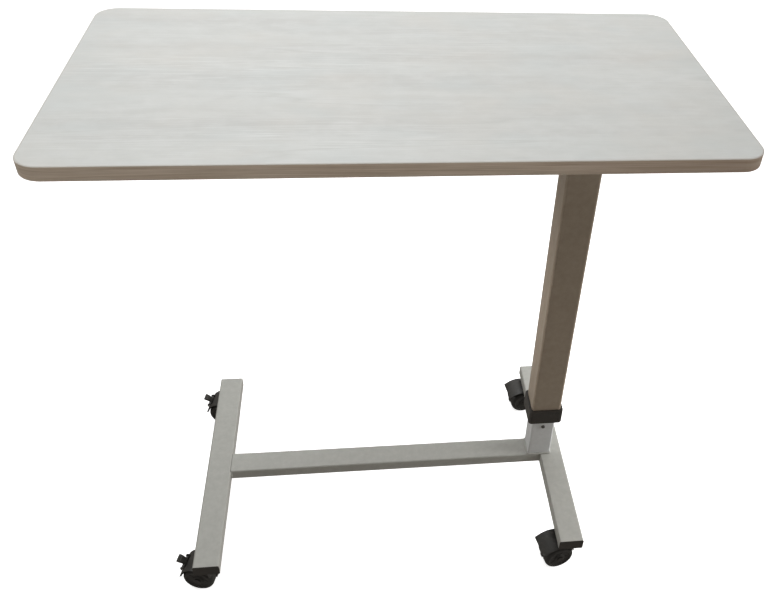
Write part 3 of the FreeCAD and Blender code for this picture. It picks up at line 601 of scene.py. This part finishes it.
for key in ("fl", "rl", "fr", "rr"):
    M = caster_frame(key)
    cx, cz = hub_of(key)
    braked = ("brake_%s_pedal" % key) in JOINT
    bm = bmesh.new()
    if braked:
        main = [(polar(0.0290, a), polar(0.0263, a)) for a in [34 + (131.0 - 34) * k / 34 for k in range(35)]]
        tail = [(polar(0.0290, a), polar(0.0263, a)) for a in (159.5, 161.6, 163.7, 165.9, 168.0)]
        loft(bm, hood_rings(cx, cz, [o for o, i in main], [i for o, i in main], 0.0204, 0.0004))
        loft(bm, hood_rings(cx, cz, [o for o, i in tail], [i for o, i in tail], 0.0204, 0.0004))
        side = [(polar(0.0290, a), polar(0.0263, a)) for a in [129.0 + (161.0 - 129.0) * k / 14 for k in range(15)]]
        for lo in ((-0.0204, -0.0108), (0.0108, 0.0204)):
            loft(bm, hood_rings(cx, cz, [o for o, i in side], [i for o, i in side], 0.0204, 0.0004, lo))
        soften(bm, 0.0005)
        # lugs that carry the pedal's pin
        br = Vector(JOINT["brake_%s_pedal" % key]["pos_m"])
        st = Vector(JOINT["caster_%s_swivel" % key]["pos_m"])
        bx, bz = -(Vector((br.x, br.y)) - Vector((st.x, st.y))).length, br.z
        for y0, y1 in ((-0.0134, -0.0106), (0.0106, 0.0134)):
            o = 0.0005
            lathe(bm, [(0.0016, y0), (0.0034, y0), (0.0039, y0 + o), (0.0041, y0 + 0.0010), (0.0041, y1 - 0.0010), (0.0039, y1 - o), (0.0034, y1), (0.0016, y1)], 32, bx, bz)
        b2 = bmesh.new()
        web_plate(b2, cx, cz, lambda a: 0.0266 if a < 129 else 0.0243, -18.0, 198.0)
    else:
        outer = [Vector(polar(0.0290, a)) for a in (34, 40, 47, 54, 60)]
        outer += spline([polar(0.0290, 66), (0.0015, 0.0302), (-0.0090, 0.0310), (-0.0190, 0.0284), (-0.0270, 0.0239), (-0.0320, 0.0200)], 7)
        inner = [Vector(polar(0.0263, a)) for a in (34, 40, 47, 54, 60)]
        inner += spline([polar(0.0263, 66), (0.0012, 0.0275), (-0.0090, 0.0282), (-0.0184, 0.0256), (-0.0260, 0.0212), (-0.0308, 0.0176)], 7)
        loft(bm, hood_rings(cx, cz, outer, inner, 0.0204, 0.0004))
        soften(bm, 0.0005)
        b2 = bmesh.new()
        web_plate(b2, cx, cz, lambda a: 0.0266, -18.0, 198.0)
    soften(b2, 0.0006)
    tmp = bpy.data.meshes.new("tmp")
    b2.to_mesh(tmp)
    bm.from_mesh(tmp)
    b2.free()
    bpy.data.meshes.remove(tmp)
    stem_boss(bm)
    # stiffening ribs on the crown, either side of the stem
    for y in (-0.0128, 0.0128):
        rings = []
        for k in range(15):
            a = 58 + 58 * k / 14
            rad = 0.0292 if braked else 0.0292 + 0.0024 * max(0.0, math.sin(math.radians((a - 58) * 180 / 74)))
            grow = math.sin(math.pi * k / 14) ** 0.5
            x, z = polar(rad, a)
            nx, nz = polar(1.0, a)
            h = 0.0007 * grow
            rings.append([(cx + x - nx * 0.0010, y - 0.0011, cz + z - nz * 0.0010), (cx + x + nx * h * 0.5, y - 0.0009, cz + z + nz * h * 0.5), (cx + x + nx * h, y, cz + z + nz * h),
                          (cx + x + nx * h * 0.5, y + 0.0009, cz + z + nz * h * 0.5), (cx + x - nx * 0.0010, y + 0.0011, cz + z - nz * 0.0010)])
        loft(bm, rings)
    finish_piece("hood_%s" % key, bm, M, "caster_black", "caster_" + key, "caster_%s_hood" % key)

    # wheels: rounded tread, sunk outer face with a raised hub, ribbed hollow inside
    prof = [(3.06, 3.6), (7.2, 3.6), (7.7, 3.9), (8.2, 5.2), (8.7, 6.1), (9.6, 6.3), (14.5, 6.3), (19.6, 6.3), (20.5, 6.0), (21.0, 4.4), (21.6, 3.8),
            (23.9, 3.75), (24.6, 4.0), (24.95, 4.7), (25.0, 5.6), (25.0, 9.0), (25.0, 12.6), (24.9, 13.8), (24.65, 15.0), (24.2, 16.1), (23.5, 17.15), (22.6, 18.1),
            (21.5, 18.8), (20.4, 19.2), (19.5, 19.35), (18.8, 19.25), (18.3, 18.8), (17.9, 17.9), (17.4, 17.5), (16.4, 17.35), (13.0, 17.0), (10.2, 16.8), (9.4, 17.0),
            (8.9, 17.7), (8.6, 18.6), (8.1, 19.1), (7.4, 19.35), (5.8, 19.4), (3.06, 19.4)]

    def ribs(k, r, y, a):
        if 5 <= k <= 7:
            c = abs(((a / (2 * math.pi) * 8) % 1.0) - 0.5) * 2
            if c > 0.88:
                return r, y - 0.0022
        if 29 <= k <= 31:
            c = abs(((a / (2 * math.pi) * 5) % 1.0) - 0.5) * 2
            s_ = min(1.0, max(0.0, (c - 0.78) / 0.14))
            return r, y + 0.0007 * s_ * s_ * (3 - 2 * s_)
        return r, y

    for side, sg in (("front", -1.0), ("rear", 1.0)):
        bm = bmesh.new()
        lathe(bm, [(r * MM, y * MM) for r, y in prof], 120, cx, cz, ribs)
        if sg < 0:
            bmesh.ops.scale(bm, vec=(1, -1, 1), verts=bm.verts)
        finish_piece("wheel_%s_%s" % (key, side), bm, M, "wheel_black", "wheel_%s_%s" % (key, side), "caster_%s_wheel_%s" % (key, side), 50)

    if braked:
        # pedal: barrel on the pin, brake nose below, and a flared tab with three grip ridges
        bm = bmesh.new()
        lathe(bm, [(0.00156, -0.0100), (0.0026, -0.0100), (0.0030, -0.0096), (0.0030, 0.0096), (0.0026, 0.0100), (0.00156, 0.0100)], 32, bx, bz)
        nose = []
        for y in (-0.0100, -0.0095, 0.0095, 0.0100):
            k = 0.8 if abs(y) > 0.0098 else 1.0
            nose.append([(bx + q[0] * k, y, bz + q[1]) for q in ((0.0014, -0.0002), (0.0015, -0.0040), (0.0009, -0.0053), (0.0, -0.0056), (-0.0009, -0.0053), (-0.0015, -0.0040), (-0.0014, -0.0002))])
        loft(bm, nose)
        path = spline([(0.0016, 0.0006), (-0.0008, 0.0032), (-0.0034, 0.0056), (-0.0068, 0.0078), (-0.0102, 0.0094), (-0.0114, 0.0098)], 6)
        rings = []
        for k, q in enumerate(path):
            t = k / (len(path) - 1)
            a = path[min(k + 1, len(path) - 1)] - path[max(k - 1, 0)]
            a.normalize()
            nrm = Vector((-a.y, a.x)) * -1.0
            if nrm.y < 0:
                nrm = -nrm
            w = 0.0054 + 0.0016 * min(1.0, max(0.0, (t - 0.15) / 0.45))
            if t > 0.86:
                w -= 0.0022 * ((t - 0.86) / 0.14) ** 2
            th = 0.0016 - 0.0003 * t
            if t > 0.94:
                th *= 0.7
            ridge = 0.0
            for c in (0.56, 0.70, 0.84):
                ridge = max(ridge, 0.00055 * max(0.0, 1 - abs(t - c) / 0.035))
            ring = []
            for (fx, fz) in ((-1, 0.3), (-0.96, 0.75), (-0.86, 1), (-0.6, 1), (0, 1.05), (0.6, 1), (0.86, 1), (0.96, 0.75), (1, 0.3), (1, -0.3), (0.96, -0.75), (0.86, -1), (0, -1), (-0.86, -1), (-0.96, -0.75), (-1, -0.3)):
                up = fz * th + (ridge if fz >= 1 else 0.0)
                ring.append((bx + q.x + nrm.x * up, fx * w, bz + q.y + nrm.y * up))
            rings.append(ring)
        loft(bm, rings)
        finish_piece("pedal_%s" % key, bm, M, "caster_black", "brake_" + key, "caster_%s_brake_pedal" % key, 50)

# ------------------------------------------------------------------ lever grip with finger waves
glo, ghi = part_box("lever_grip")
gc = (glo + ghi) / 2
gx, gy, gz = (ghi.x - glo.x), (ghi.y - glo.y) / 2, (ghi.z - glo.z) / 2
bm = bmesh.new()
rings = []
NS = 60
for k in range(NS + 1):
    t = k / NS
    x = glo.x + gx * t
    e = min(1.0, t / 0.045) if t < 0.5 else min(1.0, (1 - t) / 0.09)
    e = 0.80 + 0.20 * math.sqrt(max(0.0, 1 - (1 - e) ** 2))
    wave = 0.0007 * (1 - math.cos(2 * math.pi * min(1.0, max(0.0, (t - 0.1) / 0.8)) * 3)) / 2 if 0.1 < t < 0.9 else 0.0
    ring = []
    for j in range(32):
        a = 2 * math.pi * j / 32
        ca, sa = math.cos(a), math.sin(a)
        p = 0.55
        yy = math.copysign(abs(ca) ** p, ca) * gy * e
        zz = math.copysign(abs(sa) ** p, sa) * gz * e
        if sa < -0.3:
            zz += wave
        ring.append((x, gc.y + yy, gc.z + zz))
    rings.append(ring)
loft(bm, rings)
grip = new_object("grip_lever", bm, "black_plastic")
grip.data.set_sharp_from_angle(angle=math.radians(50))
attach(grip, "lever")
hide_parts("lever_grip")

# ------------------------------------------------------------------ stage, light, camera
def area(name, loc, target, size, size_y, energy, color=(1, 1, 1), spread=180):
    l = bpy.data.lights.new(name, "AREA")
    l.shape = "RECTANGLE"
    l.size, l.size_y = size, size_y
    l.energy = energy
    l.spread = math.radians(spread)
    l.color = color
    o = bpy.data.objects.new(name, l)
    bpy.context.scene.collection.objects.link(o)
    o.location = loc
    d = Vector(target) - Vector(loc)
    o.rotation_euler = d.to_track_quat("-Z", "Y").to_euler()
    o.visible_camera = False
    return o


fm = Mat("floor_pale")
fn = fm.noise(fm.pos, 3.0, 3.0, 0.5)
fm.base(fm.mix(fm.remap(fn, 0.3, 0.7), (0.80, 0.80, 0.80), (0.82, 0.82, 0.82)), 0.7, Specular_IOR_Level=0.2)
fm.b.inputs["Emission Color"].default_value = (1, 1, 1, 1)
fm.b.inputs["Emission Strength"].default_value = 0.78
# seen from below the floor is clear
clear = fm.node("ShaderNodeBsdfTransparent")
both = fm.node("ShaderNodeMixShader", {0: fm.node("ShaderNodeNewGeometry").outputs["Backfacing"], 1: fm.b.outputs[0], 2: clear.outputs[0]})
fm.t.links.new(both.outputs[0], fm.out.inputs[0])
bm = bmesh.new()
bmesh.ops.create_grid(bm, x_segments=8, y_segments=8, size=6.0)
me = bpy.data.meshes.new("floor")
bm.to_mesh(me)
bm.free()
floor = bpy.data.objects.new("floor", me)
me.materials.append(fm.m)
floor.location = (0, 0, -0.0002)
bpy.context.scene.collection.objects.link(floor)
floor.visible_diffuse = False        # the pale floor doesn't flood the shaded sides
floor.visible_glossy = False

# pale sweep that closes the horizon in level views; it takes no part in the lighting
sm = Mat("sweep_pale")
sn = sm.noise(sm.pos, 0.7, 2.0, 0.5)
sm.base(sm.mix(sm.remap(sn, 0.3, 0.7), (0.78, 0.78, 0.78), (0.81, 0.81, 0.81)), 0.9, Specular_IOR_Level=0.0)
sm.b.inputs["Emission Color"].default_value = (1, 1, 1, 1)
sm.b.inputs["Emission Strength"].default_value = 0.62
bm = bmesh.new()
rows = []
for r, z in [(5.5, -0.001)] + [(5.5 + 2.5 * math.sin(math.radians(a)), 2.5 * (1 - math.cos(math.radians(a)))) for a in range(10, 91, 10)] + [(8.0, 9.0)]:
    rows.append([bm.verts.new((r * math.cos(math.radians(k * 5)), r * math.sin(math.radians(k * 5)), z)) for k in range(72)])
for ra, rb in zip(rows, rows[1:]):
    for k in range(72):
        bm.faces.new((ra[k], ra[(k + 1) % 72], rb[(k + 1) % 72], rb[k]))
me = bpy.data.meshes.new("sweep")
bm.to_mesh(me)
bm.free()
me.polygons.foreach_set("use_smooth", [True] * len(me.polygons))
sweep = bpy.data.objects.new("sweep", me)
me.materials.append(sm.m)
bpy.context.scene.collection.objects.link(sweep)
sweep.visible_diffuse = sweep.visible_glossy = sweep.visible_transmission = sweep.visible_shadow = False

area("key_overhead", (-0.6, 0.75, 3.0), (0, 0, 0.4), 3.4, 2.6, 68.0, (0.96, 0.99, 1.0))
area("side_left", (-2.4, 0.25, 0.62), (0.25, 0, 0.38), 1.2, 0.3, 0.93, spread=16)
right = area("side_right", (1.5, -0.05, 0.62), (0.2, 0, 0.05), 1.1, 0.32, 5.6, spread=80)
right.visible_glossy = False
area("front_low", (0.0, -2.3, 1.5), (0, -0.21, 0.87), 1.3, 0.12, 0.20, spread=9)
area("back_fill", (0.2, 3.0, 1.4), (0, 0, 0.4), 3.0, 1.6, 16.0)

w = bpy.data.worlds.new("studio")
w.use_nodes = True
w.node_tree.nodes["Background"].inputs[0].default_value = (1.0, 0.93, 0.84, 1)
w.node_tree.nodes["Background"].inputs[1].default_value = 0.27
bpy.context.scene.world = w

cam = bpy.data.cameras.new("camera")
co = bpy.data.objects.new("camera", cam)
bpy.context.scene.collection.objects.link(co)
yaw, pitch, roll = CAM = (0.1675, 0.6906, 0.0751)
f = Vector((math.sin(yaw) * math.cos(pitch), math.cos(yaw) * math.cos(pitch), -math.sin(pitch)))
r0 = Vector((math.cos(yaw), -math.sin(yaw), 0))
u0 = r0.cross(f)
r1 = r0 * math.cos(roll) + u0 * math.sin(roll)
u1 = r0 * -math.sin(roll) + u0 * math.cos(roll)
co.matrix_world = Matrix.Translation((-0.051505, -0.97846, 1.253092)) @ Matrix((r1, u1, -f)).transposed().to_4x4()
cam.sensor_fit = "HORIZONTAL"
cam.sensor_width = 36.0
cam.lens = 39.098
cam.shift_x = -0.1129
cam.clip_start = 0.02
bpy.context.scene.camera = co
bpy.context.scene.view_settings.view_transform = "Standard"
